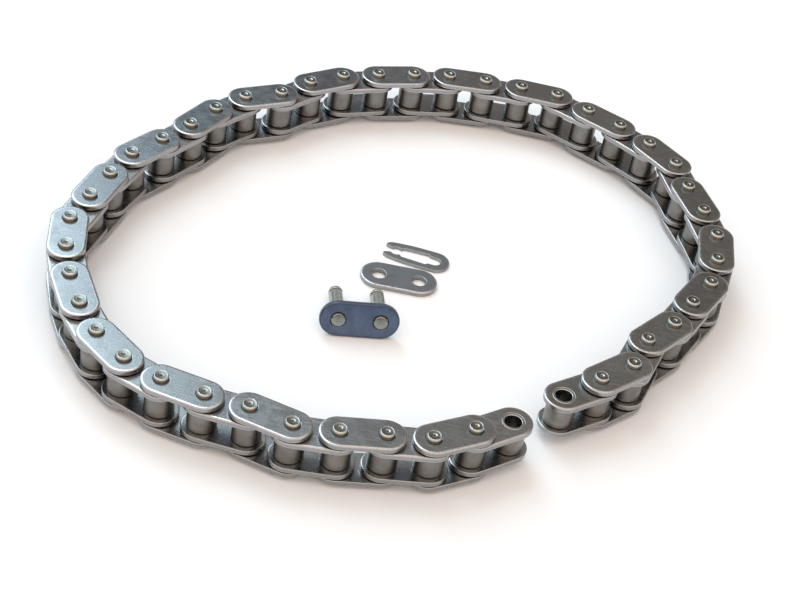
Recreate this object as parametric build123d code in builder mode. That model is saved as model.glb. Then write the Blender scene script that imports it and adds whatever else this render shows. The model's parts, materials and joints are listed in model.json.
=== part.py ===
"""Single-strand roller timing chain, laid on its side in an open ring, with its connecting link apart.

Units are millimetres. The pins stand along +Z on their lower ends, and the origin is the middle of
the ring's bounding box at the surface it lies on. The open gap of the ring is at the front right.
"""
import os
from math import asin, atan2, cos, degrees, radians, sin

from build123d import *

# Chain, sizes across the links
pitch = 9.525
plate_height = 8.5
pin_diameter = 3.28
bush_wall = 0.775
roller_wall = 0.665

# Chain, sizes along the pins
inner_width = 5.85
inner_plate_thickness = 1.3
outer_plate_thickness = 1.25
pin_protrusion = 1.0
rivet_chamfer = 0.42
bush_chamfer = 0.25

# Running clearances
pin_clearance = 0.035
roller_clearance = 0.06
roller_end_gap = 0.08
plate_side_gap = 0.2

# Connecting link
plate_edge_chamfer = 0.2
cover_hole_clearance = 0.06
rivet_head_height = 0.5
clip_thickness = 0.75
clip_groove_depth = 0.29
clip_side_gap = 0.05
clip_tip_length = 0.95
clip_tip_chamfer = 0.3

# Spring clip
clip_width = 6.9
clip_seat_clearance = 0.05
clip_seat_flat = 1.3
clip_relief_depth = 0.55
clip_relief_taper = 0.3
clip_relief_slope = 0.7
clip_neck_grip = 0.33
clip_throat_grip = 0.42
clip_throat_length = 0.4
clip_mouth_clearance = 0.08
clip_prong_reach = 2.85
clip_tip_thickness = 0.55
clip_straight = 3.0
clip_taper = 0.63
clip_shoulder = 1.4

# The ring as it lies: the middle link's heading, then how far each pin joint bends inwards, in
# degrees, going from the middle link to each open end. A negative bend turns outwards.
middle_heading = 50
left_bends = (
    -20, 22, 11, -5, -2, 17, 4, 1, 23, 10, 7,
    9, 13, 16, 12, 6, -9, 19, 6, -1, 23, 6,
)
right_bends = (
    13, 13, 4, 4, 10, 4, 4, 25, 0, 8, 9,
    26, -4, 5, 19, 10, 17, -1, 12, -20, 28, 6,
)

# The loose pieces as they lie inside the ring
connecting_link_place = (-5.85, -25.5)
connecting_link_heading = 10.6
cover_plate_place = (0.65, -3.9)
cover_plate_heading = 0.5
spring_clip_place = (8.2, 5.1)
spring_clip_heading = 172.6

# Worked out from the sizes above: the bush and the roller are built up round the pin, wall by wall
plate_radius = plate_height / 2
bush_bore = pin_diameter + 2 * pin_clearance
bush_diameter = bush_bore + 2 * bush_wall
roller_bore = bush_diameter + 2 * roller_clearance
roller_diameter = roller_bore + 2 * roller_wall
bush_length = inner_width + 2 * inner_plate_thickness
outer_width = bush_length + 2 * plate_side_gap
pin_length = outer_width + 2 * outer_plate_thickness + 2 * pin_protrusion
lower_outer_plate_z = pin_protrusion
lower_inner_plate_z = lower_outer_plate_z + outer_plate_thickness + plate_side_gap
roller_z = lower_inner_plate_z + inner_plate_thickness + roller_end_gap
roller_length = inner_width - 2 * roller_end_gap
upper_inner_plate_z = lower_inner_plate_z + inner_plate_thickness + inner_width
upper_outer_plate_z = lower_outer_plate_z + outer_plate_thickness + outer_width


def heading_vector(heading):
    """Unit vector in the ground plane at a heading in degrees."""
    return Vector(cos(radians(heading)), sin(radians(heading)), 0)


def walk(start, heading, bends, turn):
    """Pin centres from start along one side of the ring, where turn is +1 or -1 for inwards."""
    centres = [start]
    for bend in bends:
        heading += turn * bend
        centres.append(centres[-1] + heading_vector(heading) * pitch)
    return centres


def ring_centres():
    """All pin and open bush centres, from the left open end round to the right one."""
    half_link = heading_vector(middle_heading) * (pitch / 2)
    left = walk(-half_link, middle_heading + 180, left_bends, 1)
    right = walk(half_link, middle_heading, right_bends, -1)
    centres = left[::-1] + right
    xs = [c.X for c in centres]
    ys = [c.Y for c in centres]
    middle = Vector((min(xs) + max(xs)) / 2, (min(ys) + max(ys)) / 2, 0)
    return [c - middle for c in centres]


def link_plane(start, end, z):
    """Plane between two pin centres at height z, with x along the link and z upwards."""
    middle = (start + end) / 2
    return Plane(origin=(middle.X, middle.Y, z), x_dir=end - start, z_dir=(0, 0, 1))


def upright_plane(centre, z):
    """Level plane on a pin centre at height z."""
    return Plane(origin=(centre.X, centre.Y, z))


def make_plate(plane, thickness, hole_diameter, label):
    """Straight-sided link plate with round ends and two holes one pitch apart."""
    with BuildPart() as plate:
        with BuildSketch(plane):
            SlotCenterToCenter(pitch, plate_height)
            with GridLocations(pitch, 1, 2, 1):
                Circle(hole_diameter / 2, mode=Mode.SUBTRACT)
        extrude(amount=thickness)
    plate.part.label = label
    return plate.part


def make_tube(plane, outer_diameter, bore, length, label, bore_chamfer=0.0):
    """Round tube standing on the plane, with its bore opened at both ends if a chamfer is given."""
    with BuildPart() as tube:
        with BuildSketch(plane):
            Circle(outer_diameter / 2)
            Circle(bore / 2, mode=Mode.SUBTRACT)
        extrude(amount=length)
        if bore_chamfer:
            bore_rims = tube.edges().filter_by(GeomType.CIRCLE).sort_by(SortBy.RADIUS)[:2]
            chamfer(bore_rims, bore_chamfer)
    tube.part.label = label
    return tube.part


def make_pin(centre, label):
    """Pin of an outer link, with both ends rounded off by riveting."""
    with BuildPart() as pin:
        with BuildSketch(upright_plane(centre, 0)):
            Circle(pin_diameter / 2)
        extrude(amount=pin_length)
        chamfer(pin.edges().filter_by(GeomType.CIRCLE), rivet_chamfer)
    pin.part.label = label
    return pin.part


def make_inner_plates(start, end):
    """Lower and upper plate of an inner link, whose holes are the bushes' press fit."""
    return [
        make_plate(link_plane(start, end, z), inner_plate_thickness, bush_diameter, label)
        for z, label in ((lower_inner_plate_z, "lower_plate"), (upper_inner_plate_z, "upper_plate"))
    ]


def make_bush(centre, label, bore_chamfer=0.0):
    """Bush pressed into both inner plates and flush with their outer faces."""
    plane = upright_plane(centre, lower_inner_plate_z)
    return make_tube(plane, bush_diameter, bush_bore, bush_length, label, bore_chamfer)


def make_roller(centre, label):
    """Roller that turns on a bush, between the inner plates."""
    plane = upright_plane(centre, roller_z)
    return make_tube(plane, roller_diameter, roller_bore, roller_length, label)


def make_inner_link(start, end, label):
    """Inner link: two plates, two bushes and two rollers, each a solid of its own."""
    pieces = make_inner_plates(start, end)
    for centre, side in ((start, "first"), (end, "second")):
        pieces.append(make_bush(centre, side + "_bush"))
        pieces.append(make_roller(centre, side + "_roller"))
    return Compound(label=label, children=pieces)


def make_outer_link(start, end, label):
    """Outer link: two plates riveted on two pins."""
    pieces = [
        make_plate(link_plane(start, end, z), outer_plate_thickness, pin_diameter, plate_label)
        for z, plate_label in (
            (lower_outer_plate_z, "lower_plate"),
            (upper_outer_plate_z, "upper_plate"),
        )
    ]
    pieces += [make_pin(start, "first_pin"), make_pin(end, "second_pin")]
    return Compound(label=label, children=pieces)


def write(piece):
    """Write a labelled piece to the STEP file of its own name."""
    export_step(piece, f"parts/{piece.label}.step")


os.makedirs("parts", exist_ok=True)
centres = ring_centres()

# Links between the two ends: outer and inner links take turns, and an outer one comes first
middle_links = list(zip(centres, centres[1:]))[1:-1]
for number, (start, end) in enumerate(middle_links[::2], 1):
    write(make_outer_link(start, end, f"outer_link_{number:02d}"))
for number, (start, end) in enumerate(middle_links[1::2], 2):
    write(make_inner_link(start, end, f"inner_link_{number:02d}"))

# The two open ends are inner links whose pieces are written one by one
for side, open_centre, pinned_centre in (
    ("left_end", centres[0], centres[1]),
    ("right_end", centres[-1], centres[-2]),
):
    for plate in make_inner_plates(open_centre, pinned_centre):
        plate.label = f"{side}_{plate.label}"
        write(plate)
    open_bush = make_bush(open_centre, "open_bush", bush_chamfer)
    pinned_bush = make_bush(pinned_centre, "pinned_bush", bush_chamfer)
    write(Compound(label=f"{side}_bushes", children=[open_bush, pinned_bush]))
    write(make_roller(open_centre, f"{side}_open_roller"))
    write(make_roller(pinned_centre, f"{side}_pinned_roller"))

# Connecting link: it leans back, on the lower edge of its plate and on the tips of its two pins
pin_reach = (
    2 * outer_plate_thickness + outer_width + 2 * clip_side_gap + clip_thickness + clip_tip_length
)
edge_drop = plate_radius - pin_diameter / 2
edge_depth = outer_plate_thickness - plate_edge_chamfer
lean = degrees(atan2(edge_drop, pin_reach - clip_tip_chamfer - edge_depth))
front_height = edge_depth * sin(radians(lean)) + plate_radius * cos(radians(lean))
along_pins = (
    heading_vector(connecting_link_heading + 90) * cos(radians(lean))
    - Vector(0, 0, 1) * sin(radians(lean))
)
front_plane = Plane(
    origin=(*connecting_link_place, front_height),
    x_dir=heading_vector(connecting_link_heading),
    z_dir=along_pins,
)

with BuildPart() as connecting_plate:
    with BuildSketch(front_plane):
        SlotCenterToCenter(pitch, plate_height)
    extrude(amount=outer_plate_thickness)
    outlines = connecting_plate.edges().group_by(Axis(front_plane.origin, front_plane.z_dir))
    chamfer(outlines[0] + outlines[-1], plate_edge_chamfer)
    with BuildSketch(front_plane):
        with GridLocations(pitch, 1, 2, 1):
            Circle(pin_diameter / 2)
    extrude(amount=outer_plate_thickness, mode=Mode.SUBTRACT)
connecting_plate.part.label = "connecting_plate"
write(connecting_plate.part)

groove_start = 2 * outer_plate_thickness + outer_width
groove_end = groove_start + clip_thickness + 2 * clip_side_gap
clip_groove_diameter = pin_diameter - 2 * clip_groove_depth


def make_connecting_pin(offset, label):
    """Pin of the connecting link, offset along it, with its rivet head and clip groove."""
    axis_plane = Plane(
        origin=front_plane.from_local_coords((offset, 0, 0)),
        x_dir=front_plane.x_dir,
        z_dir=front_plane.z_dir,
    )
    with BuildPart() as pin:
        with BuildSketch(axis_plane.offset(-rivet_head_height)):
            Circle(pin_diameter / 2)
        extrude(amount=rivet_head_height + pin_reach)
        ends = pin.edges().filter_by(GeomType.CIRCLE).sort_by(Axis(axis_plane.origin, axis_plane.z_dir))
        chamfer(ends[0], rivet_chamfer)
        chamfer(ends[-1], clip_tip_chamfer)
        with BuildSketch(axis_plane.offset(groove_start)):
            Circle(pin_diameter / 2)
            Circle(clip_groove_diameter / 2, mode=Mode.SUBTRACT)
        extrude(amount=groove_end - groove_start, mode=Mode.SUBTRACT)
    pin.part.label = label
    return pin.part


left_pin = make_connecting_pin(-pitch / 2, "left_pin")
right_pin = make_connecting_pin(pitch / 2, "right_pin")
write(Compound(label="connecting_pins", children=[left_pin, right_pin]))

# Cover plate, flat on the surface, which slides over the connecting pins
cover_plane = Plane(
    origin=(*cover_plate_place, 0), x_dir=heading_vector(cover_plate_heading), z_dir=(0, 0, 1)
)
with BuildPart() as cover_plate:
    with BuildSketch(cover_plane):
        SlotCenterToCenter(pitch, plate_height)
    extrude(amount=outer_plate_thickness)
    chamfer(cover_plate.edges().group_by(Axis.Z)[-1], plate_edge_chamfer)
    with BuildSketch(cover_plane):
        with GridLocations(pitch, 1, 2, 1):
            Circle(pin_diameter / 2 + cover_hole_clearance)
    extrude(amount=outer_plate_thickness, mode=Mode.SUBTRACT)
cover_plate.part.label = "cover_plate"
write(cover_plate.part)

# Spring clip, flat on the surface: the closed end seats in one groove, and the prongs snap past the other
clip_plane = Plane(
    origin=(*spring_clip_place, 0), x_dir=heading_vector(spring_clip_heading), z_dir=(0, 0, 1)
)
clip_outer = clip_width / 2
clip_seat = clip_groove_diameter / 2 + clip_seat_clearance
clip_relief = clip_seat + clip_relief_depth
relief_start = clip_seat_flat + clip_relief_slope
neck_half = clip_groove_diameter / 2 - clip_neck_grip
neck_angle = 180 - degrees(asin(neck_half / clip_seat))
neck_x = pitch + clip_seat * cos(radians(neck_angle))
throat_half = clip_groove_diameter / 2 - clip_throat_grip
throat_angle = degrees(asin(throat_half / clip_seat))
throat_x = pitch + clip_seat * cos(radians(throat_angle))
mouth_half = clip_groove_diameter / 2 + clip_mouth_clearance
prong_end = pitch + clip_prong_reach

with BuildPart() as spring_clip:
    with BuildSketch(clip_plane):
        with BuildLine():
            CenterArc((0, 0), clip_outer, 90, 90)
            Line((0, clip_outer), (clip_straight, clip_outer))
            leg_back = TangentArc(
                (clip_straight, clip_outer),
                (pitch + clip_shoulder, clip_outer - clip_taper),
                tangent=(1, 0),
            )
            Spline(
                leg_back @ 1,
                (prong_end, mouth_half + clip_tip_thickness),
                tangents=(leg_back % 1, (1, -1)),
            )
            Polyline(
                (prong_end, mouth_half + clip_tip_thickness),
                (prong_end, mouth_half),
                (throat_x + clip_throat_length, throat_half),
                (throat_x, throat_half),
            )
            CenterArc((pitch, 0), clip_seat, throat_angle, neck_angle - throat_angle)
            Polyline(
                (neck_x, neck_half),
                (neck_x - clip_relief_slope, clip_relief - clip_relief_taper),
                (relief_start, clip_relief),
                (clip_seat_flat, clip_seat),
                (0, clip_seat),
            )
            CenterArc((0, 0), clip_seat, 90, 90)
            Line((-clip_seat, 0), (-clip_outer, 0))
        make_face()
        mirror(about=Plane.XZ)
    extrude(amount=clip_thickness)
spring_clip.part.label = "spring_clip"
write(spring_clip.part)
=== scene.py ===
"""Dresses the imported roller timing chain: plates, bushes, rollers and pins in worked steel.

Lengths are metres in the part's own frame, with +Z along the pins of the ring. Each sub-assembly is
a class: its fields are its sizes, and its methods work out its surfaces with numpy and dress them.
"""
import json
import logging
import math
from dataclasses import dataclass, field
from enum import Enum

import bpy
import numpy as np
from mathutils import Matrix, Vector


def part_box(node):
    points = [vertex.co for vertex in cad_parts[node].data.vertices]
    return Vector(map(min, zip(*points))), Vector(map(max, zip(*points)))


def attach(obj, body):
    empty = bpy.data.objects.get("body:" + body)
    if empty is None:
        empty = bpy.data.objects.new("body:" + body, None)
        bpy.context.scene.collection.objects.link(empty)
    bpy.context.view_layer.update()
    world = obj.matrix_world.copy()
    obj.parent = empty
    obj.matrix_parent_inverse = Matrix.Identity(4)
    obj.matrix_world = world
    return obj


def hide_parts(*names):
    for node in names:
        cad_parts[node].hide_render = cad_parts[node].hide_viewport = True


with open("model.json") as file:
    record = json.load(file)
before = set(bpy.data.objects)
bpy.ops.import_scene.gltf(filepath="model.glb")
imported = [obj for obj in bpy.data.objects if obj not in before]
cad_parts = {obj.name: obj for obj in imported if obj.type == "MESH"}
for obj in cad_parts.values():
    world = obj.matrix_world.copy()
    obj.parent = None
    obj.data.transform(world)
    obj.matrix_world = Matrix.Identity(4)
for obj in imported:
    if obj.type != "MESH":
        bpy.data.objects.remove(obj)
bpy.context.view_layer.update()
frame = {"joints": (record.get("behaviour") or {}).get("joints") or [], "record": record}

LOG = logging.getLogger("timing_chain")
MM = 0.001
PITCH = 9.525 * MM
PLATE_SHEET = 1.25 * MM
PIN_DIAMETER = 3.28 * MM
UP = np.array([0.0, 0.0, 1.0])
# Distance by which a point may lie off a line and still count as on it
SLACK = 0.02 * MM
# Angles of the points on a rounded corner of the clip
QUARTER = np.radians([0.0, 30.0, 60.0, 90.0])
# Width of a cell in which points are welded, and the shift that keeps round sizes off the cells' edges
WELD_STEP = 1e-7
WELD_SHIFT = 0.37
# Length below which a normal isn't stretched to 1
SHORTEST = 1e-30
# Number in place of a triangle's fourth corner
NO_CORNER = -1
TONE_SEED = 21

Colour = tuple[float, float, float]
Triple = tuple[float, float, float]
Value = float | Colour | bpy.types.NodeSocket


class Metal(Enum):
    """The sorts of steel on the chain."""

    PLATE = "plate_steel"
    ROLLER = "roller_steel"
    BUSH = "bush_steel"
    PIN = "pin_steel"
    BLUED = "blued_steel"
    COVER = "cover_steel"
    CLIP = "spring_steel"


class End(Enum):
    """The two open ends of the chain."""

    LEFT = "left_end"
    RIGHT = "right_end"


@dataclass(frozen=True)
class Profile:
    """Line that is turned round an axis or carried along an outline.

    Attributes:
        out: Distance outwards of each point.
        up: Height of each point.
        rim: Share of edge wear at each point, from 0 to 1, which the finish also paints as an edge
            highlight.
    """

    out: np.ndarray
    up: np.ndarray
    rim: np.ndarray

    def __add__(self, other: "Profile") -> "Profile":
        """This line and then the other, as one."""
        return Profile(*(np.concatenate(pair) for pair in zip(self.parts(), other.parts())))

    def parts(self) -> tuple[np.ndarray, np.ndarray, np.ndarray]:
        """The three rows of numbers of the line."""
        return self.out, self.up, self.rim

    def closed(self) -> "Profile":
        """The same line, carried back to its first point."""
        return Profile(*(np.append(part, part[0]) for part in self.parts()))

    def flipped(self, height: float) -> "Profile":
        """The same line upside down within a height, so that it still runs anticlockwise."""
        return Profile(self.out[::-1], height - self.up[::-1], self.rim[::-1])


def arc(out: float, up: float, radius: float, start: float, end: float,
        rim: float = 1.0, steps: int = 4, reach: float = 1.0) -> Profile:
    """Part of a circle or ellipse in a profile: centre plus radius times cosine and sine of the angle.

    Args:
        out: Distance outwards of the centre.
        up: Height of the centre.
        radius: Radius of the circle.
        start: First angle in degrees, where 0 points outwards and 90 upwards.
        end: Last angle in degrees.
        rim: Share of edge wear on the arc, with its painted highlight.
        steps: Number of straight steps.
        reach: How many times wider than high an ellipse is.

    Returns:
        The arc as a profile.
    """
    angle = np.radians(np.linspace(start, end, steps + 1))
    across = out + reach * radius * np.cos(angle)
    return Profile(across, up + radius * np.sin(angle), np.full(steps + 1, rim))


def stops(*points: tuple[float, float, float]) -> Profile:
    """Profile through points given as distance outwards, height and share of edge wear with its painted
    highlight.
    """
    return Profile(*np.array(points, float).T)


@dataclass(frozen=True)
class Patch:
    """A grid of points on a surface.

    Attributes:
        points: Rows by columns by x, y, z. Columns run anticlockwise seen from outside, rows upwards.
        rim: Rows by columns shares of edge wear with its painted highlight.
        ring: Whether the last column joins the first.
    """

    points: np.ndarray
    rim: np.ndarray
    ring: bool = True

    def turned_half(self) -> "Patch":
        """The patch turned half a turn about the z axis."""
        return Patch(self.points * (-1, -1, 1), self.rim, self.ring)

    def mirrored(self) -> "Patch":
        """The patch mirrored in y, with its columns turned round so that it still faces outwards."""
        return Patch(self.points[:, ::-1] * (1, -1, 1), self.rim[:, ::-1], self.ring)


@dataclass(frozen=True)
class Placement:
    """Where a piece lies.

    Attributes:
        origin: Place of its own origin.
        along: Direction of its own x axis.
        up: Direction of its own z axis.
    """

    origin: np.ndarray
    along: np.ndarray
    up: np.ndarray

    def place(self, points: np.ndarray) -> np.ndarray:
        """Points of the piece in the part's frame: origin plus each coordinate times its axis."""
        return self.origin + points @ np.stack([self.along, np.cross(self.up, self.along), self.up])


@dataclass(frozen=True)
class Shell:
    """Closed surface of a piece, or of several pieces that share an object.

    Attributes:
        points: Points by x, y, z.
        faces: Faces by four point numbers, where the last is NO_CORNER in a triangle.
        rim: Share of edge wear with its painted highlight at each point.
        tone: How light or dark the metal is at each point: -1 to 1 at random, and further out on parts
            drawn lighter or darker, some of it painted shade and highlight.
    """

    points: np.ndarray
    faces: np.ndarray
    rim: np.ndarray
    tone: np.ndarray

    def placed(self, placement: Placement, tone: float | np.ndarray = 0.0) -> "Shell":
        """The same surface at a placement, with its own tone."""
        return Shell(placement.place(self.points), self.faces, self.rim, np.full(len(self.points), tone))

    def normals(self) -> np.ndarray:
        """Normal at each point: the sum of the area vectors of its faces, so that flats stay flat.

        Returns:
            Points by x, y, z, of unit length.
        """
        corners = np.where(self.faces == NO_CORNER, self.faces[:, :1], self.faces)
        a, b, c, d = (self.points[corners[:, k]] for k in range(4))
        area = np.cross(c - a, d - b)
        total = np.zeros_like(self.points)
        for k in range(4):
            used = self.faces[:, k] != NO_CORNER
            np.add.at(total, corners[used, k], area[used])
        return total / np.maximum(np.linalg.norm(total, axis=1, keepdims=True), SHORTEST)


def grid_squares(patch: Patch, first: int) -> np.ndarray:
    """Corners of each square of a grid, whose points are numbered along its rows.

    Args:
        patch: The grid.
        first: Number of its first point.

    Returns:
        Squares by four point numbers, anticlockwise seen from outside.
    """
    rows, columns = patch.points.shape[:2]
    number = np.arange(rows * columns).reshape(rows, columns) + first
    here, beside = number[:, :-1], number[:, 1:]
    if patch.ring:
        here, beside = number, np.roll(number, -1, axis=1)
    return np.stack([here[:-1], beside[:-1], beside[1:], here[1:]], axis=-1).reshape(-1, 4)


def weld(patches: list[Patch]) -> Shell:
    """Joins grids into one shell: points in the same cell of a very fine lattice become one.

    Args:
        patches: The grids, whose edges meet.

    Returns:
        The shell. A square that lost a corner is a triangle, and one that lost two is gone.
    """
    points = np.concatenate([patch.points.reshape(-1, 3) for patch in patches])
    rim = np.concatenate([patch.rim.ravel() for patch in patches])
    starts = np.cumsum([0] + [patch.rim.size for patch in patches[:-1]])
    squares = np.concatenate([grid_squares(patch, int(first)) for patch, first in zip(patches, starts)])
    cells = np.floor(points / WELD_STEP + WELD_SHIFT).astype(np.int64)
    _, kept, merged = np.unique(cells, axis=0, return_index=True, return_inverse=True)
    squares = merged.ravel()[squares]
    same = squares == np.roll(squares, -1, axis=1)
    whole = squares[~same.any(axis=1)]
    pinched = squares[same.sum(axis=1) == 1]
    shift = np.argmax(pinched == np.roll(pinched, -1, axis=1), axis=1)
    order = (shift[:, None] + np.arange(1, 5)) % 4
    triangles = np.take_along_axis(pinched, order, axis=1)
    triangles[:, 3] = NO_CORNER
    return Shell(points[kept], np.concatenate([whole, triangles]), rim[kept], np.zeros(len(kept)))


def gather(shells: list[Shell]) -> Shell:
    """Several shells as one, each still closed by itself.

    Args:
        shells: The shells.

    Returns:
        One shell, whose faces count its points from the first shell on.
    """
    starts = np.cumsum([0] + [len(shell.points) for shell in shells[:-1]])
    faces = [np.where(s.faces == NO_CORNER, NO_CORNER, s.faces + n) for s, n in zip(shells, starts)]
    return Shell(
        np.concatenate([shell.points for shell in shells]),
        np.concatenate(faces),
        np.concatenate([shell.rim for shell in shells]),
        np.concatenate([shell.tone for shell in shells]),
    )


def turned(profile: Profile, segments: int) -> Shell:
    """Surface of revolution about z: distance outwards times cosine and sine of the angle, and height.

    Args:
        profile: The line, anticlockwise seen with outwards to the right and up upwards.
        segments: Number of flats round the axis.

    Returns:
        The turned shell, about its own z axis.
    """
    angle = np.arange(segments) * (2 * math.pi / segments)
    out, up = profile.out[:, None], profile.up[:, None]
    points = np.stack([out * np.cos(angle), out * np.sin(angle), up + 0 * angle], axis=-1)
    return weld([Patch(points, np.repeat(profile.rim[:, None], segments, axis=1))])


def upright(place: np.ndarray | tuple[float, float], height: float = 0.0,
            heading: float = 0.0) -> Placement:
    """Placement of a piece that stands along z, with its own x axis turned to a heading.

    Args:
        place: Its place by x and y.
        height: Height of its foot.
        heading: Direction of its own x axis in degrees.

    Returns:
        The placement.
    """
    turn = math.radians(heading)
    return Placement(np.array([*place, height]), np.array([math.cos(turn), math.sin(turn), 0.0]), UP)


def show(name: str, shell: Shell, metal: Metal, body: str, nodes: tuple[str, ...]) -> None:
    """Puts a shell in the scene as a piece of a body.

    Args:
        name: Name of the piece.
        shell: Its surface, in place.
        metal: Its sort of steel.
        body: The body that it moves with.
        nodes: The nodes that it stands for.
    """
    finish = FINISHES[metal]
    corners = shell.faces.ravel()
    corners = corners[corners != NO_CORNER].astype(np.int32)
    sides = (shell.faces != NO_CORNER).sum(axis=1).astype(np.int32)
    mesh = bpy.data.meshes.new(name)
    mesh.vertices.add(len(shell.points))
    mesh.vertices.foreach_set("co", shell.points.astype(np.float32).ravel())
    mesh.loops.add(len(corners))
    mesh.loops.foreach_set("vertex_index", corners)
    mesh.polygons.add(len(sides))
    mesh.polygons.foreach_set("loop_start", (np.cumsum(sides) - sides).astype(np.int32))
    mesh.polygons.foreach_set("use_smooth", np.ones(len(sides), bool))
    mesh.update(calc_edges=True)
    for mark, values in (("rim", shell.rim), ("tone", shell.tone)):
        mesh.attributes.new(mark, "FLOAT", "POINT").data.foreach_set("value", values.astype(np.float32))
    mesh.normals_split_custom_set_from_vertices(shell.normals().astype(np.float32))
    mesh.materials.append(finish.material())
    piece = bpy.data.objects.new(name, mesh)
    bpy.context.scene.collection.objects.link(piece)
    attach(piece, body)
    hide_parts(*nodes)
    LOG.info("%s: %d points, %d faces, on %s", name, len(shell.points), len(sides), body)


def shader_node(material: bpy.types.Material) -> bpy.types.Node:
    """The shader that a new material starts with."""
    return next(node for node in material.node_tree.nodes if node.type == "BSDF_PRINCIPLED")


class Graph:
    """The nodes of one material or of the room, wired one call at a time.

    A mix node has sockets of several kinds, and its colours are those with the numbers below.
    """

    FIRST_COLOUR = 6
    SECOND_COLOUR = 7
    MIXED_COLOUR = 2

    def __init__(self, tree: bpy.types.NodeTree) -> None:
        """Starts from a node tree, with the node that knows the place of each point."""
        self.tree = tree
        self.place = tree.nodes.new("ShaderNodeTexCoord").outputs

    def feed(self, socket: bpy.types.NodeSocket, value: Value) -> None:
        """Gives a socket a constant, or the link of another socket.

        Args:
            socket: The socket that is fed.
            value: A number, a colour, or the socket that it comes from.
        """
        if isinstance(value, bpy.types.NodeSocket):
            self.tree.links.new(value, socket)
        elif socket.type == "RGBA":
            socket.default_value = (*value, 1.0)
        else:
            socket.default_value = value

    def noise(self, size: float, detail: float = 2.0, turn: Triple = (0, 0, 0),
              stretch: Triple = (1, 1, 1), shift: float = 0.0) -> bpy.types.NodeSocket:
        """Noise in the piece's own coordinates.

        Args:
            size: Size of its patches in metres.
            detail: How many finer layers it has.
            turn: Turn about x, y and z in degrees, before the stretch.
            stretch: Scale along x, y and z.
            shift: Distance that keeps two layers apart.

        Returns:
            The socket with the noise, about 0.5 on the whole.
        """
        mapping = self.tree.nodes.new("ShaderNodeMapping")
        self.feed(mapping.inputs["Vector"], self.place["Object"])
        mapping.inputs["Location"].default_value = (shift, shift, shift)
        mapping.inputs["Rotation"].default_value = [math.radians(angle) for angle in turn]
        mapping.inputs["Scale"].default_value = stretch
        noise = self.tree.nodes.new("ShaderNodeTexNoise")
        self.feed(noise.inputs["Vector"], mapping.outputs["Vector"])
        noise.inputs["Scale"].default_value = 1 / size
        noise.inputs["Detail"].default_value = detail
        return noise.outputs["Fac"]

    def mark(self, name: str) -> bpy.types.NodeSocket:
        """One of the piece's own point attributes.

        Args:
            name: Name of the attribute.

        Returns:
            The socket with its value.
        """
        node = self.tree.nodes.new("ShaderNodeAttribute")
        node.attribute_name = name
        return node.outputs["Fac"]

    def spread(self, value: Value, low: float, high: float, start: float = 0.0, end: float = 1.0,
               smooth: bool = True) -> bpy.types.NodeSocket:
        """Spreads one range of a value over another, and holds it at the ends.

        Args:
            value: The value.
            low: Where its range starts.
            high: Where its range ends.
            start: Result at the start and before it.
            end: Result at the end and past it.
            smooth: Whether the result eases in and out.

        Returns:
            The socket with the result.
        """
        node = self.tree.nodes.new("ShaderNodeMapRange")
        node.interpolation_type = "SMOOTHSTEP" if smooth else "LINEAR"
        for key, number in (("Value", value), ("From Min", low), ("From Max", high),
                            ("To Min", start), ("To Max", end)):
            self.feed(node.inputs[key], number)
        return node.outputs["Result"]

    def calculate(self, operation: str, first: Value, second: Value) -> bpy.types.NodeSocket:
        """Two values joined by an operation.

        Args:
            operation: The math node's name for it.
            first: The first value.
            second: The second value.

        Returns:
            The socket with the result.
        """
        node = self.tree.nodes.new("ShaderNodeMath")
        node.operation = operation
        self.feed(node.inputs[0], first)
        self.feed(node.inputs[1], second)
        return node.outputs["Value"]

    def add(self, first: Value, second: Value) -> bpy.types.NodeSocket:
        """The sum of two values."""
        return self.calculate("ADD", first, second)

    def times(self, first: Value, second: Value) -> bpy.types.NodeSocket:
        """The product of two values."""
        return self.calculate("MULTIPLY", first, second)

    def blend(self, share: Value, first: Value, second: Value,
              mode: str = "MIX") -> bpy.types.NodeSocket:
        """Two colours, mixed by a share.

        Args:
            share: Share of the second colour.
            first: The first colour.
            second: The second colour.
            mode: How the second acts on the first.

        Returns:
            The socket with the mixed colour.
        """
        node = self.tree.nodes.new("ShaderNodeMix")
        node.data_type = "RGBA"
        node.blend_type = mode
        self.feed(node.inputs["Factor"], share)
        self.feed(node.inputs[self.FIRST_COLOUR], first)
        self.feed(node.inputs[self.SECOND_COLOUR], second)
        return node.outputs[self.MIXED_COLOUR]

    def grey(self, value: Value) -> bpy.types.NodeSocket:
        """A value as a grey colour.

        Args:
            value: The value.

        Returns:
            The socket with the colour.
        """
        node = self.tree.nodes.new("ShaderNodeCombineColor")
        for channel in node.inputs[:3]:
            self.feed(channel, value)
        return node.outputs["Color"]


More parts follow.
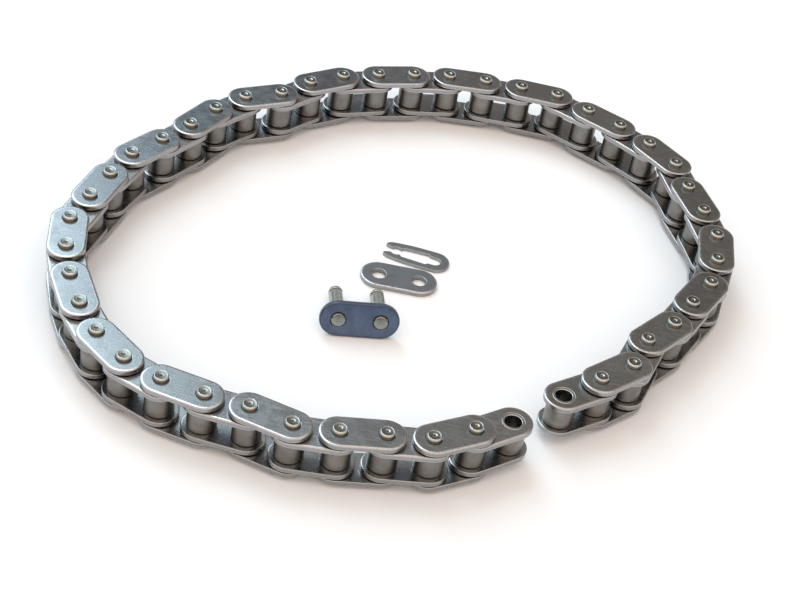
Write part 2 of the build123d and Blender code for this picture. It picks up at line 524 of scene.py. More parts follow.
@dataclass(frozen=True)
class SteelFinish:
    """Finish of one sort of steel.

    Attributes:
        name: Name of the material.
        slot: The record's slot for it. Not used.
        face: Colour of the open face.
        stain: Colour of its darker patches.
        tint: Colour of a faint temper or oil tint.
        rim: Colour of worn edges, lightened as a painted highlight, and on blued steel darkened as
            painted shade.
        roughness: Roughness of the open face.
        rim_roughness: Roughness of worn edges.
        patch: Size of the darker patches.
        tint_share: How strong the tint is.
        grain: Depth of the fine grain.
        scratches: Share of fine scratches.
        grain_size: Size of the fine grain's patches.
        dent_size: Size of the shallow dents.
        wear_size: Size of the patches in which rims show more or less of their wear and painted
            highlight.
        scratch_width: Width of a scratch.
        plain_tone: Share of the colour that a piece with tone 0 keeps.
        tone_step: What a tone of 1 adds to that share.
    """

    name: str
    slot: str
    face: Colour
    stain: Colour
    tint: Colour
    rim: Colour
    roughness: float
    rim_roughness: float
    patch: float = 2.2 * MM
    tint_share: float = 0.35
    grain: float = 0.012 * MM
    scratches: float = 0.5
    grain_size: float = 0.16 * MM
    dent_size: float = 1.1 * MM
    wear_size: float = 0.5 * MM
    scratch_width: float = 0.3 * MM
    plain_tone: float = 0.93
    tone_step: float = 0.07

    def material(self) -> bpy.types.Material:
        """The finish as a material, made the first time it is asked for."""
        return bpy.data.materials.get(self.name) or self.make()

    def make(self) -> bpy.types.Material:
        """Builds the nodes: mottled colour, worn rims with a painted highlight, patchy gloss, fine grain
        and scratches.

        Returns:
            The new material.
        """
        material = bpy.data.materials.new(self.name)
        material.use_nodes = True
        graph = Graph(material.node_tree)
        shader = shader_node(material).inputs
        shader["Metallic"].default_value = 1.0
        mottle = graph.noise(self.patch, detail=4.0)
        wear = graph.noise(self.wear_size, detail=3.0, shift=0.12)
        # The rims' colour is partly edge wear and partly a painted highlight; on blued steel it is
        # painted shade.
        edge_wear_and_painted_light = graph.times(graph.mark("rim"), graph.spread(wear, low=0.25, high=0.6, start=0.55))
        scratches = (self.scratch(graph, 24, shift=0.55), self.scratch(graph, 101, shift=0.77))
        lines = graph.calculate("MAXIMUM", *scratches)
        graph.feed(shader["Base Color"], self.colour(graph, mottle, edge_wear_and_painted_light))
        graph.feed(shader["Roughness"], self.gloss(graph, mottle, edge_wear_and_painted_light, lines))
        graph.feed(shader["Normal"], self.relief(graph, lines))
        return material

    def scratch(self, graph: Graph, turn: float, shift: float) -> bpy.types.NodeSocket:
        """Fine scratches in one direction: noise drawn out into lines, of which the crests are kept.

        Args:
            graph: The material's nodes.
            turn: Turn of the lines about z in degrees.
            shift: Distance that keeps two sets apart.

        Returns:
            The socket with 1 in a scratch and 0 beside it.
        """
        line = graph.noise(self.scratch_width, detail=1.0, turn=(0, 0, turn), stretch=(0.05, 1.0, 1.0),
                           shift=shift)
        return graph.spread(line, low=0.64, high=0.7)

    def colour(self, graph: Graph, mottle: Value, edge_wear_and_painted_light: Value) -> bpy.types.NodeSocket:
        """Stained and tinted colour of the face, times the piece's tone, under the rims' colour of wear
        and painted highlight.

        Args:
            graph: The material's nodes.
            mottle: Noise that places the stains.
            edge_wear_and_painted_light: Share of edge wear, with its painted highlight.

        Returns:
            The socket with the colour.
        """
        tint = graph.noise(3.1 * self.patch, detail=1.0, shift=0.31)
        colour = graph.blend(graph.spread(mottle, low=0.35, high=0.7), self.face, self.stain)
        tinted = graph.spread(tint, low=0.42, high=0.68, end=self.tint_share)
        colour = graph.blend(tinted, colour, self.tint)
        tone = graph.add(graph.times(graph.mark("tone"), self.tone_step), self.plain_tone)
        colour = graph.blend(1.0, colour, graph.grey(tone), mode="MULTIPLY")
        # Rims take the rim colour: edge wear with a painted highlight, and painted shade on blued steel.
        return graph.blend(edge_wear_and_painted_light, colour, self.rim)

    def gloss(self, graph: Graph, mottle: Value, edge_wear_and_painted_light: Value, lines: Value) -> bpy.types.NodeSocket:
        """Roughness of the face, more in patches and scratches, and that of the rims where worn.

        Args:
            graph: The material's nodes.
            mottle: Noise that places the duller patches.
            edge_wear_and_painted_light: Share of edge wear, with its painted highlight.
            lines: Share of scratches.

        Returns:
            The socket with the roughness.
        """
        least, most = self.roughness - 0.02, self.roughness + 0.05
        gloss = graph.spread(mottle, low=0.3, high=0.75, start=least, end=most)
        gloss = graph.add(gloss, graph.times(lines, 0.12 * self.scratches))
        return graph.add(gloss, graph.times(edge_wear_and_painted_light, self.rim_roughness - self.roughness))

    def relief(self, graph: Graph, lines: Value) -> bpy.types.NodeSocket:
        """Normal over fine grain, shallow dents and scratches.

        Args:
            graph: The material's nodes.
            lines: Share of scratches.

        Returns:
            The socket with the normal.
        """
        dents = graph.noise(self.dent_size, detail=1.0, shift=0.7)
        height = graph.add(graph.noise(self.grain_size), graph.times(dents, 0.8))
        height = graph.add(height, graph.times(lines, -0.5 * self.scratches))
        bump = graph.tree.nodes.new("ShaderNodeBump")
        bump.inputs["Strength"].default_value = 0.5
        bump.inputs["Distance"].default_value = self.grain
        graph.feed(bump.inputs["Height"], height)
        return bump.outputs["Normal"]


# Each rim colour is partly a painted edge highlight; the blued plate's darker rim is painted edge shade.
FINISHES = {
    Metal.PLATE: SteelFinish(
        "satin_plate_steel", "outer_link_steel",
        face=(0.30, 0.312, 0.322), stain=(0.275, 0.284, 0.293), tint=(0.298, 0.288, 0.298),
        rim=(0.52, 0.50, 0.50), roughness=0.25, rim_roughness=0.20,
    ),
    Metal.ROLLER: SteelFinish(
        "hardened_roller_steel", "roller_steel",
        face=(0.25, 0.243, 0.228), stain=(0.20, 0.188, 0.17), tint=(0.235, 0.24, 0.255),
        rim=(0.34, 0.32, 0.30), roughness=0.32, rim_roughness=0.26, scratches=0.2,
    ),
    Metal.BUSH: SteelFinish(
        "ground_bush_steel", "bush_steel",
        face=(0.30, 0.30, 0.29), stain=(0.24, 0.24, 0.23), tint=(0.30, 0.29, 0.27),
        rim=(0.62, 0.62, 0.60), roughness=0.26, rim_roughness=0.16, scratches=0.2,
    ),
    Metal.PIN: SteelFinish(
        "ground_pin_steel", "pin_steel",
        face=(0.24, 0.25, 0.238), stain=(0.20, 0.21, 0.195), tint=(0.27, 0.25, 0.22),
        rim=(0.60, 0.59, 0.56), roughness=0.24, rim_roughness=0.14,
        patch=0.8 * MM, scratches=0.2,
    ),
    Metal.BLUED: SteelFinish(
        "blued_plate_steel", "blued_steel",
        face=(0.118, 0.150, 0.228), stain=(0.098, 0.122, 0.182), tint=(0.108, 0.168, 0.225),
        rim=(0.075, 0.085, 0.12), roughness=0.28, rim_roughness=0.24, tint_share=0.8,
    ),
    Metal.COVER: SteelFinish(
        "satin_cover_steel", "cover_steel",
        face=(0.25, 0.265, 0.285), stain=(0.218, 0.23, 0.248), tint=(0.24, 0.255, 0.28),
        rim=(0.62, 0.62, 0.63), roughness=0.34, rim_roughness=0.18,
    ),
    Metal.CLIP: SteelFinish(
        "dull_spring_steel", "spring_steel",
        face=(0.205, 0.212, 0.22), stain=(0.178, 0.184, 0.192), tint=(0.20, 0.202, 0.207),
        rim=(0.33, 0.34, 0.35), roughness=0.42, rim_roughness=0.34,
    ),
}


@dataclass(frozen=True)
class LinkPlate:
    """Link plate with round ends and two holes one pitch apart.

    Its own z runs from 0 at the inner face, where the blanking tool left the sheet, to the thickness
    at the outer face, whose edge the tool rolled round.

    Attributes:
        thickness: Thickness of the sheet.
        hole: Diameter of the holes.
        pitch: Distance between the holes.
        height: Width of the plate across the link.
        roll: Height of the rolled edge on the outer face.
        burr: Height of the worn edge on the inner face.
        reach: How many times wider than high both are.
        shear: Share of the thickness at which the shear line runs round the wall.
        shear_step: How far the wall below the line lies inside the wall above it.
        shear_band: How far the line's bright band reaches below and above it.
        roll_rim: Share of edge wear with its painted highlight on the rolled edge.
        burr_rim: Share of edge wear with its painted highlight on the worn edge, and on the shear line.
        wall_rim: Share of edge wear with its painted highlight on the rest of the wall.
        face_rim: Share of edge wear with its painted highlight at the edge of the faces.
        hole_edge: Radius of the edges of the holes.
        hole_rim: Share of edge wear with its painted highlight round the holes.
        settle: Width of the band in which edge wear and its painted highlight fade into the face.
        line_steps: Number of steps along half a straight side.
        arc_steps: Number of steps round an end.
        waist_steps: Number of steps across the waist.
        roll_steps: Number of steps over the rolled edge.
        burr_steps: Number of steps over the worn edge.
    """

    thickness: float
    hole: float
    pitch: float = PITCH
    height: float = 8.5 * MM
    roll: float = 0.2 * MM
    burr: float = 0.13 * MM
    reach: float = 2.4
    shear: float = 0.55
    shear_step: float = 0.01 * MM
    shear_band: tuple[float, float] = (0.05 * MM, 0.08 * MM)
    roll_rim: float = 0.7
    burr_rim: float = 0.5
    wall_rim: float = 0.1
    face_rim: float = 0.5
    hole_edge: float = 0.08 * MM
    hole_rim: float = 0.8
    settle: float = 0.22 * MM
    line_steps: int = 5
    arc_steps: int = 22
    waist_steps: int = 8
    roll_steps: int = 7
    burr_steps: int = 5

    def outline(self) -> tuple[np.ndarray, np.ndarray]:
        """Half of the outline, anticlockwise from the middle of the near side to that of the far side.

        Returns:
            The points of the plate's middle line that the outline goes round, and the directions
            outwards from them. A point of the outline is the first plus the radius times the second.
        """
        half = self.pitch / 2
        turn = np.radians(np.linspace(-90, 90, self.arc_steps + 1))
        run = np.linspace(0, half, self.line_steps + 1)[:-1]
        x = np.concatenate([run, np.full(len(turn), half), run[::-1]])
        angle = np.concatenate([np.full(len(run), turn[0]), turn, np.full(len(run), turn[-1])])
        return np.stack([x, 0 * x], axis=-1), np.stack([np.cos(angle), np.sin(angle)], axis=-1)

    def side(self) -> Patch:
        """Half of the side wall: the edge's profile carried along the outline.

        Returns:
            The grid. Its profile is a quarter of an ellipse at the worn edge, the wall with its shear
            line, and a quarter of a wider ellipse at the rolled edge.
        """
        radius, reach = self.height / 2, self.reach
        shear = self.shear * self.thickness
        profile = (
            arc(radius - reach * self.burr, self.burr, self.burr, -90, 0,
                self.burr_rim, self.burr_steps, reach)
            + stops(
                (radius - self.shear_step, shear - self.shear_band[0], self.wall_rim),
                (radius, shear, self.burr_rim),
                (radius, shear + self.shear_band[1], self.wall_rim),
            )
            + arc(radius - reach * self.roll, self.thickness - self.roll, self.roll, 0, 90,
                  self.roll_rim, self.roll_steps, reach)
        )
        middle, outwards = self.outline()
        ring = middle + profile.out[:, None, None] * outwards
        up = np.broadcast_to(profile.up[:, None, None], ring.shape[:2] + (1,))
        rim = np.repeat(profile.rim[:, None], len(middle), axis=1)
        return Patch(np.concatenate([ring, up], axis=-1), rim, ring=False)

    def face_ring(self, inset: float) -> tuple[np.ndarray, np.ndarray]:
        """Edge of half a face: the outline drawn in by an inset, then back along the plate's waist.

        Args:
            inset: How far the face's edge lies inside the outline.

        Returns:
            The points about the hole's centre, and which of them lie on the outline.
        """
        middle, outwards = self.outline()
        edge = middle + (self.height / 2 - inset) * outwards
        waist = np.linspace(edge[-1], edge[0], self.waist_steps + 1)[1:-1]
        ring = np.concatenate([edge, waist]) - (self.pitch / 2, 0)
        return ring, np.arange(len(ring)) < len(edge)

    def face(self, inset: float, height: float, upwards: bool) -> Patch:
        """Half of a flat face: rows from its edge to the hole, along lines towards the hole's centre.

        Args:
            inset: How far the face's edge lies inside the outline.
            height: Height of the face.
            upwards: Whether the face looks upwards.

        Returns:
            The grid, with a narrow row beside each edge where the edge wear and its painted highlight
            end.
        """
        ring, on_edge = self.face_ring(inset)
        distance = np.linalg.norm(ring, axis=1)
        inner = self.hole / 2 + self.hole_edge
        rows = np.stack([distance, distance - self.settle, 0 * distance + inner + self.settle / 2,
                         0 * distance + inner])
        xy = rows[..., None] * (ring / distance[:, None]) + (self.pitch / 2, 0)
        rim = np.zeros(rows.shape)
        rim[0] = self.face_rim * on_edge
        rim[-1] = self.hole_rim
        points = np.concatenate([xy, np.full(rows.shape + (1,), height)], axis=-1)
        return Patch(points, rim) if upwards else Patch(points[::-1], rim[::-1])

    def hole_wall(self) -> Patch:
        """Wall of the hole: its profile turned round the hole.

        Returns:
            The grid. Its columns stand at the angles of the upper face's lines at the top and of the
            lower face's at the bottom, and go from one to the other with height.
        """
        ring, _ = self.face_ring(self.reach * self.roll)
        low, _ = self.face_ring(self.reach * self.burr)
        radius = self.hole / 2
        edge = self.hole_edge
        profile = (
            arc(radius + edge, self.thickness - edge, edge, 90, 180, rim=self.hole_rim, steps=3)
            + arc(radius + edge, edge, edge, 180, 270, rim=self.hole_rim, steps=3)
        )
        share = (profile.up / self.thickness)[:, None, None]
        spokes = share * ring / np.linalg.norm(ring, axis=1, keepdims=True)
        spokes = spokes + (1 - share) * low / np.linalg.norm(low, axis=1, keepdims=True)
        spokes = spokes / np.linalg.norm(spokes, axis=-1, keepdims=True)
        xy = profile.out[:, None, None] * spokes + (self.pitch / 2, 0)
        up = np.broadcast_to(profile.up[:, None, None], xy.shape[:2] + (1,))
        rim = np.repeat(profile.rim[:, None], len(ring), axis=1)
        return Patch(np.concatenate([xy, up], axis=-1), rim)

    def shell(self) -> Shell:
        """The whole plate.

        Returns:
            One half and the same half turned about z, welded at the waist.
        """
        half = [
            self.side(),
            self.face(self.reach * self.roll, self.thickness, upwards=True),
            self.face(self.reach * self.burr, 0.0, upwards=False),
            self.hole_wall(),
        ]
        return weld(half + [patch.turned_half() for patch in half])

    def painted_hole_shade(self, shell: Shell, tone: float) -> np.ndarray:
        """Tone of the plate, with the walls of the holes drawn darker as painted shade.

        Args:
            shell: The plate's shell.
            tone: Tone of the walls' painted shade.

        Returns:
            Tone at each point.
        """
        out = np.hypot(np.abs(shell.points[:, 0]) - self.pitch / 2, shell.points[:, 1])
        return np.where(out < self.hole / 2 + SLACK, tone, 0.0)


@dataclass(frozen=True)
class Bush:
    """Bush pressed into the inner plates, whose bore opens in a steep cone with a lip drawn bright as a
    painted highlight.

    Attributes:
        length: Length of the bush.
        diameter: Outer diameter.
        bore: Diameter of the bore.
        cone: Width of the cone at a mouth.
        cone_depth: Depth of the cone.
        lip: Width of the lip at the mouth's edge, drawn bright as a painted highlight.
        edge: Radius of the outer edges.
        segments: Number of flats round the axis.
    """

    length: float
    diameter: float = 4.9 * MM
    bore: float = 3.35 * MM
    cone: float = 0.2 * MM
    cone_depth: float = 0.9 * MM
    lip: float = 0.06 * MM
    edge: float = 0.12 * MM
    segments: int = 48

    def shell(self) -> Shell:
        """The bush turned about its axis.

        Returns:
            The shell, from 0 to the bush's length along z. Each half of its profile goes from the
            outer wall over the edge and the bright lip down the cone into the bore.
        """
        outer, inner = self.diameter / 2, self.bore / 2
        upper_half = (
            stops((outer, self.length / 2, 0.0))
            + arc(outer - self.edge, self.length - self.edge, self.edge, 0, 90, rim=0.5, steps=3)
            + stops(
                (inner + self.cone + 2 * self.lip, self.length, 0.2),
                (inner + self.cone + self.lip, self.length, 1.0),
                (inner + self.cone, self.length - self.lip, 1.0),
                (inner + 0.9 * self.cone, self.length - 3 * self.lip, 0.0),
                (inner, self.length - self.cone_depth, 0.0),
            )
        )
        lower_half = upper_half.flipped(self.length)
        return turned((upper_half + lower_half).closed(), self.segments)


@dataclass(frozen=True)
class Roller:
    """Roller that turns on a bush.

    Attributes:
        length: Length of the roller.
        diameter: Outer diameter.
        bore: Diameter of the bore.
        edge: Radius of the outer edges.
        bore_edge: Radius of the edges of the bore.
        segments: Number of flats round the axis.
    """

    length: float
    diameter: float = 6.35 * MM
    bore: float = 5.02 * MM
    edge: float = 0.3 * MM
    bore_edge: float = 0.1 * MM
    segments: int = 56

    def shell(self) -> Shell:
        """The roller turned about its axis.

        Returns:
            The shell, from 0 to the roller's length along z. Each half of its profile goes from the
            outer wall over the edge to the bore.
        """
        outer, inner = self.diameter / 2, self.bore / 2
        upper_half = (
            stops((outer, self.length / 2, 0.0), (outer, self.length - 3 * self.edge, 0.0))
            + arc(outer - self.edge, self.length - self.edge, self.edge, 0, 90, rim=0.8, steps=4)
            + arc(inner + self.bore_edge, self.length - self.bore_edge, self.bore_edge, 90, 180,
                  rim=0.4, steps=2)
        )
        lower_half = upper_half.flipped(self.length)
        return turned((upper_half + lower_half).closed(), self.segments)


@dataclass(frozen=True)
class RivetPin:
    """Pin of an outer link, with both ends peened to a cone and dished round a centre mark.

    Attributes:
        length: Length over both ends.
        diameter: Diameter of the shank.
        bevel: How far the peened cone runs down from the end.
        crown: Radius of the flat end.
        dish: Depth of the dished end.
        mark: Depth of the centre mark.
        mark_mouth: Radius of the mark at the dished end.
        mark_reach: Radius of the pit at the bottom of the mark.
        painted_wall_tone: Tone of the peened wall, drawn lighter as a painted highlight.
        face_tone: Tone of the dished end.
        mark_shade_tone: Tone of the pit of the mark, drawn dark as painted shade.
        segments: Number of flats round the axis.
    """

    length: float
    diameter: float = PIN_DIAMETER
    bevel: float = 0.3 * MM
    crown: float = 1.38 * MM
    dish: float = 0.05 * MM
    mark: float = 0.34 * MM
    mark_mouth: float = 0.56 * MM
    mark_reach: float = 0.24 * MM
    painted_wall_tone: float = 4.0
    face_tone: float = -1.5
    mark_shade_tone: float = -9.0
    segments: int = 40

    def shell(self) -> Shell:
        """The pin turned about its axis.

        Returns:
            The shell, from 0 to the pin's length along z. Each half of its profile goes from the
            shank over the peened cone and the crown down the dish into the centre mark.
        """
        radius, top = self.diameter / 2, self.length
        upper_half = stops(
            (radius, top / 2, 0.0),
            (radius, top - 1.3 * MM, 0.0),
            (radius, top - self.bevel - 0.12 * MM, 0.0),
            (radius - 0.02 * MM, top - self.bevel, 0.2),
            (self.crown + 0.07 * MM, top - 0.1 * MM, 0.6),
            (self.crown + 0.03 * MM, top - 0.04 * MM, 1.0),
            (self.crown - 0.03 * MM, top, 1.0),
            (self.crown - 0.1 * MM, top - 0.02 * MM, 0.5),
            (self.crown - 0.17 * MM, top - self.dish, 0.0),
            (self.mark_mouth + 0.08 * MM, top - 1.25 * self.dish, 0.0),
            (self.mark_mouth, top - 1.4 * self.dish, 0.1),
            (self.mark_reach + 0.1 * MM, top - 0.4 * self.mark, 0.5),
            (self.mark_reach, top - 0.65 * self.mark, 0.0),
            (0.0, top - self.mark, 0.0),
        )
        return turned(upper_half.flipped(self.length) + upper_half, self.segments)

    def tone(self, shell: Shell) -> np.ndarray:
        """Tone of a pin: a painted highlight on the wall, dull on the dished end and painted shade in
        the centre mark.

        Args:
            shell: The pin's shell.

        Returns:
            Tone at each point.
        """
        out = np.hypot(shell.points[:, 0], shell.points[:, 1])
        # Painted shade in the mark's pit, and a painted highlight on the wall.
        inside = np.where(out > self.mark_reach + SLACK, self.face_tone, self.mark_shade_tone)
        return np.where(out > self.crown, self.painted_wall_tone, inside)


@dataclass(frozen=True)
class LevelSizes:
    """Heights of the chain's layers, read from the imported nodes.

    Attributes:
        lower_inner: Lowest and highest z of the lower inner plates.
        upper_inner: Lowest and highest z of the upper inner plates.
        roller: Lowest and highest z of the rollers.
        pin: Lowest and highest z of the pins.
    """

    lower_inner: tuple[float, float]
    upper_inner: tuple[float, float]
    roller: tuple[float, float]
    pin: tuple[float, float]

    @staticmethod
    def read() -> "LevelSizes":
        """The heights of the left end link's nodes and of an outer link's pins."""
        nodes = ("left_end_lower_plate", "left_end_upper_plate", "left_end_open_roller", "outer_link_01")
        return LevelSizes(*((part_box(node)[0].z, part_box(node)[1].z) for node in nodes))


@dataclass
class RingChain:
    """The riveted chain: inner and outer links in turn round an open ring.

    Attributes:
        levels: Heights of its layers.
        outer_plate_thickness: Thickness of the outer plates.
        pin_stand: How far the pins stand out of the outer plates.
        hole_ease: How much larger a hole is drawn than what fills it, so that a seam shows.
    """

    levels: LevelSizes = field(default_factory=LevelSizes.read)
    outer_plate_thickness: float = PLATE_SHEET
    pin_stand: float = 1.0 * MM
    hole_ease: float = 0.03 * MM

    def __post_init__(self) -> None:
        """Works out one shell of each sort, about its own origin, and the centres of all joints."""
        low, high = self.levels.lower_inner, self.levels.upper_inner
        bush, pin = Bush(high[1] - low[0]), RivetPin(self.levels.pin[1] - self.levels.pin[0])
        roller = Roller(self.levels.roller[1] - self.levels.roller[0])
        inner_plate = LinkPlate(low[1] - low[0], bush.diameter + self.hole_ease)
        outer_plate = LinkPlate(self.outer_plate_thickness, pin.diameter + self.hole_ease,
                                hole_edge=0.14 * MM, hole_rim=0.1)
        self.inner_plate, self.outer_plate = inner_plate.shell(), outer_plate.shell()
        self.bush, self.roller, self.pin = bush.shell(), roller.shell(), pin.shell()
        self.pin_painted_tone = pin.tone(self.pin)
        self.centres = self.joint_centres()
        self.tones = np.random.default_rng(TONE_SEED).uniform(-1, 1, (len(self.centres), 2))

    @staticmethod
    def joint_centres() -> np.ndarray:
        """Centres of the open bushes and pins, from the left end round to the right end.

        Returns:
            Centres by x and y, from the record's bore mounts and pin joints.
        """
        mounts = {mount["name"]: mount["pos_m"] for mount in frame["record"]["mounts"]}
        joints = {joint["name"]: joint for joint in frame["joints"]}
        pins = [joints[name]["pos_m"] for name in sorted(joints) if name.startswith("pin_joint")]
        return np.array([mounts["left_open_bush"], *pins, mounts["right_open_bush"]])[:, :2]

    def plate_pair(self, link: int, shell: Shell, low_top: float, high_bottom: float) -> Shell:
        """A link's lower and upper plate, with their rolled edges outwards.

        Args:
            link: Number of the link from the left end, from 0.
            shell: The plate about its own origin.
            low_top: Height of the lower plate's inner face.
            high_bottom: Height of the upper plate's inner face.

        Returns:
            Both plates in place.
        """
        start, end = self.centres[link], self.centres[link + 1]
        along = np.append((end - start) / np.linalg.norm(end - start), 0.0)
        middle = (start + end) / 2
        lower = Placement(np.append(middle, low_top), along, -UP)
        upper = Placement(np.append(middle, high_bottom), along, UP)
        tones = self.tones[link]
        return gather([shell.placed(lower, tones[0]), shell.placed(upper, tones[1])])

    def inner_plates(self, link: int) -> Shell:
        """Both plates of an inner link, by its number from the left end."""
        low, high = self.levels.lower_inner[1], self.levels.upper_inner[0]
        return self.plate_pair(link, self.inner_plate, low, high)

    def outer_plates(self, link: int) -> Shell:
        """Both plates of an outer link, between the heads of its pins.

        Args:
            link: Number of the link from the left end, from 0.

        Returns:
            Both plates in place.
        """
        reach = self.pin_stand + self.outer_plate_thickness
        low, high = self.levels.pin[0] + reach, self.levels.pin[1] - reach
        return self.plate_pair(link, self.outer_plate, low, high)

    def standing(self, shell: Shell, height: float, *joints: int,
                 tone: float | np.ndarray = 0.0) -> Shell:
        """A turned piece at each of some joints, with its foot at a height.

        Args:
            shell: The piece about its own origin.
            height: Height of its foot.
            joints: Numbers of the joints from the left end, from 0.
            tone: The piece's tone, to which each joint adds its own.

        Returns:
            The pieces in place.
        """
        pieces = []
        for joint in joints:
            own_tone = tone + self.tones[joint][0]
            pieces.append(shell.placed(upright(self.centres[joint], height), own_tone))
        return gather(pieces)

    def inner_link(self, link: int, body: str) -> None:
        """Shows an inner link between the ends: its plates, bushes and rollers.

        Args:
            link: Number of the link from the left end, from 0.
            body: Its body, which is also its node.
        """
        joints = (link, link + 1)
        bushes = self.standing(self.bush, self.levels.lower_inner[0], *joints)
        rollers = self.standing(self.roller, self.levels.roller[0], *joints)
        show(f"{body}_plates", self.inner_plates(link), Metal.PLATE, body, (body,))
        show(f"{body}_bushes", bushes, Metal.BUSH, body, (body,))
        show(f"{body}_rollers", rollers, Metal.ROLLER, body, (body,))

    def outer_link(self, link: int, body: str) -> None:
        """Shows an outer link: its plates and its pins.

        Args:
            link: Number of the link from the left end, from 0.
            body: Its body, which is also its node.
        """
        show(f"{body}_plates", self.outer_plates(link), Metal.PLATE, body, (body,))
        pins = self.standing(self.pin, self.levels.pin[0], link, link + 1, tone=self.pin_painted_tone)
        show(f"{body}_pins", pins, Metal.PIN, body, (body,))

    def end_link(self, end: End) -> None:
        """Shows the inner link at an open end, whose rollers turn on bodies of their own.

        Args:
            end: Which end of the chain it is.
        """
        last = len(self.centres) - 1
        link, open_joint, pinned_joint = (0, 0, 1) if end is End.LEFT else (last - 1, last, last - 1)
        side, body = end.value, f"{end.value}_link"
        bushes = self.standing(self.bush, self.levels.lower_inner[0], open_joint, pinned_joint)
        plate_nodes = (f"{side}_upper_plate", f"{side}_lower_plate")
        show(f"{body}_plates", self.inner_plates(link), Metal.PLATE, body, plate_nodes)
        show(f"{body}_bushes", bushes, Metal.BUSH, body, (f"{side}_bushes",))
        for joint, kind in ((open_joint, "open"), (pinned_joint, "pinned")):
            roller = self.standing(self.roller, self.levels.roller[0], joint)
            node = f"{side}_{kind}_roller"
            show(f"{node}_turned", roller, Metal.ROLLER, node, (node,))

    def build(self) -> None:
        """Shows every link, from the left end to the right end."""
        self.end_link(End.LEFT)
        for link in range(1, len(self.centres) - 2):
            number = link // 2 + 1
            if link % 2:
                self.outer_link(link, f"outer_link_{number:02d}")
            else:
                self.inner_link(link, f"inner_link_{number:02d}")
        self.end_link(End.RIGHT)


